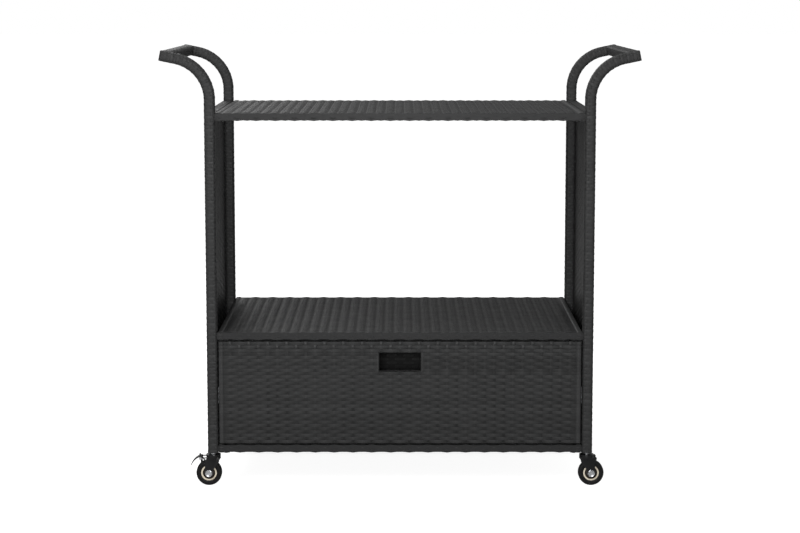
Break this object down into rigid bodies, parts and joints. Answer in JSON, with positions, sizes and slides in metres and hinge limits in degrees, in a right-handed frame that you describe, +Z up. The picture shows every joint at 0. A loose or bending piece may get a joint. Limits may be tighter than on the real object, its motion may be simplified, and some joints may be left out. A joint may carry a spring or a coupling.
{
  "type": "serving trolley",
  "caption": "Black woven serving trolley on swivel casters: raised end handles, an open shelf bay between woven decks, and a wide drawer on slides below.",
  "frame": {"origin": "middle of the footprint, on the floor", "axes": "+X along the length, from handle to handle; -Y towards the drawer side; +Z up"},
  "size_m": [1.0002, 0.461, 0.9221],
  "materials": {
    "rattan": "black synthetic wicker strands, satin, faintly streaked",
    "frame_steel": "black powder coat",
    "slide_steel": "zinc-plated pressed sheet",
    "zinc": "bright zinc plate",
    "black_caster_steel": "black electrocoat, slightly glossy",
    "tyre": "smooth black rubber",
    "cream_plastic": "cream moulded plastic",
    "black_plastic": "black moulded plastic"
  },
  "bodies": {
    "cart_frame": {"left_side_frame": "frame_steel", "right_side_frame": "frame_steel", "top_deck_frame": "frame_steel", "lower_deck_frame": "frame_steel", "bottom_deck_frame": "frame_steel", "back_frame": "frame_steel", "front_left_leg_weave": "rattan", "front_right_leg_weave": "rattan", "rear_left_leg_weave": "rattan", "rear_right_leg_weave": "rattan", "left_handle_weave": "rattan", "right_handle_weave": "rattan", "left_side_weave": "rattan", "right_side_weave": "rattan", "top_deck_weave": "rattan", "lower_deck_weave": "rattan", "bottom_deck_weave": "rattan", "back_weave": "rattan", "deck_screws": "frame_steel", "leg_plugs": "black_plastic", "caster_stems": "zinc", "left_slide_outer": "slide_steel", "right_slide_outer": "slide_steel", "slide_screws": "zinc"},
    "drawer": {"drawer_frame": "frame_steel", "drawer_front_frame": "frame_steel", "drawer_front_screws": "zinc", "drawer_front_weave": "rattan", "drawer_left_weave": "rattan", "drawer_right_weave": "rattan", "drawer_back_weave": "rattan", "drawer_floor_weave": "rattan", "left_slide_inner": "slide_steel", "right_slide_inner": "slide_steel", "drawer_slide_screws": "zinc"},
    "left_slide_carriage": {"left_slide_middle": "slide_steel"},
    "right_slide_carriage": {"right_slide_middle": "slide_steel"},
    "front_left_swivel": {"front_left_caster_fork": "black_caster_steel", "front_left_axle_bolt": "zinc", "front_left_brake_pin": "zinc"},
    "front_left_wheel": {"front_left_tyre": "tyre", "front_left_wheel_hub": "cream_plastic"},
    "front_left_brake": {"front_left_brake_pedal": "black_caster_steel"},
    "front_right_swivel": {"front_right_caster_fork": "black_caster_steel", "front_right_axle_bolt": "zinc"},
    "front_right_wheel": {"front_right_tyre": "tyre", "front_right_wheel_hub": "cream_plastic"},
    "rear_left_swivel": {"rear_left_caster_fork": "black_caster_steel", "rear_left_axle_bolt": "zinc", "rear_left_brake_pin": "zinc"},
    "rear_left_wheel": {"rear_left_tyre": "tyre", "rear_left_wheel_hub": "cream_plastic"},
    "rear_left_brake": {"rear_left_brake_pedal": "black_caster_steel"},
    "rear_right_swivel": {"rear_right_caster_fork": "black_caster_steel", "rear_right_axle_bolt": "zinc"},
    "rear_right_wheel": {"rear_right_tyre": "tyre", "rear_right_wheel_hub": "cream_plastic"}
  },
  "joints": [
    {"name": "drawer_slide", "type": "slide", "parent": "cart_frame", "child": "drawer", "axis": [0, -1, 0], "range_m": [0, 0.34]},
    {"name": "left_carriage_slide", "type": "slide", "parent": "cart_frame", "child": "left_slide_carriage", "axis": [0, -1, 0], "range_m": [0, 0.17]},
    {"name": "right_carriage_slide", "type": "slide", "parent": "cart_frame", "child": "right_slide_carriage", "axis": [0, -1, 0], "range_m": [0, 0.17]},
    {"name": "front_left_caster_swivel", "type": "hinge", "parent": "cart_frame", "child": "front_left_swivel", "pos_m": [-0.396, -0.2135, 0.062], "axis": [0, 0, 1], "continuous": true},
    {"name": "front_left_wheel_spin", "type": "hinge", "parent": "front_left_swivel", "child": "front_left_wheel", "pos_m": [-0.4055, -0.2135, 0.027], "axis": [0, 1, 0], "continuous": true},
    {"name": "front_left_brake_press", "type": "hinge", "parent": "front_left_swivel", "child": "front_left_brake", "pos_m": [-0.4225, -0.2135, 0.0595], "axis": [0, -1, 0], "range_deg": [0, 18]},
    {"name": "front_right_caster_swivel", "type": "hinge", "parent": "cart_frame", "child": "front_right_swivel", "pos_m": [0.396, -0.2135, 0.062], "axis": [0, 0, 1], "continuous": true},
    {"name": "front_right_wheel_spin", "type": "hinge", "parent": "front_right_swivel", "child": "front_right_wheel", "pos_m": [0.4055, -0.2135, 0.027], "axis": [0, 1, 0], "continuous": true},
    {"name": "rear_left_caster_swivel", "type": "hinge", "parent": "cart_frame", "child": "rear_left_swivel", "pos_m": [-0.396, 0.2135, 0.062], "axis": [0, 0, 1], "continuous": true},
    {"name": "rear_left_wheel_spin", "type": "hinge", "parent": "rear_left_swivel", "child": "rear_left_wheel", "pos_m": [-0.4055, 0.2135, 0.027], "axis": [0, 1, 0], "continuous": true},
    {"name": "rear_left_brake_press", "type": "hinge", "parent": "rear_left_swivel", "child": "rear_left_brake", "pos_m": [-0.4225, 0.2135, 0.0595], "axis": [0, -1, 0], "range_deg": [0, 18]},
    {"name": "rear_right_caster_swivel", "type": "hinge", "parent": "cart_frame", "child": "rear_right_swivel", "pos_m": [0.396, 0.2135, 0.062], "axis": [0, 0, 1], "continuous": true},
    {"name": "rear_right_wheel_spin", "type": "hinge", "parent": "rear_right_swivel", "child": "rear_right_wheel", "pos_m": [0.4055, 0.2135, 0.027], "axis": [0, 1, 0], "continuous": true}
  ],
  "couplings": [
    {"joint": "left_carriage_slide", "follows": "drawer_slide", "ratio": 0.5},
    {"joint": "right_carriage_slide", "follows": "drawer_slide", "ratio": 0.5}
  ]
}
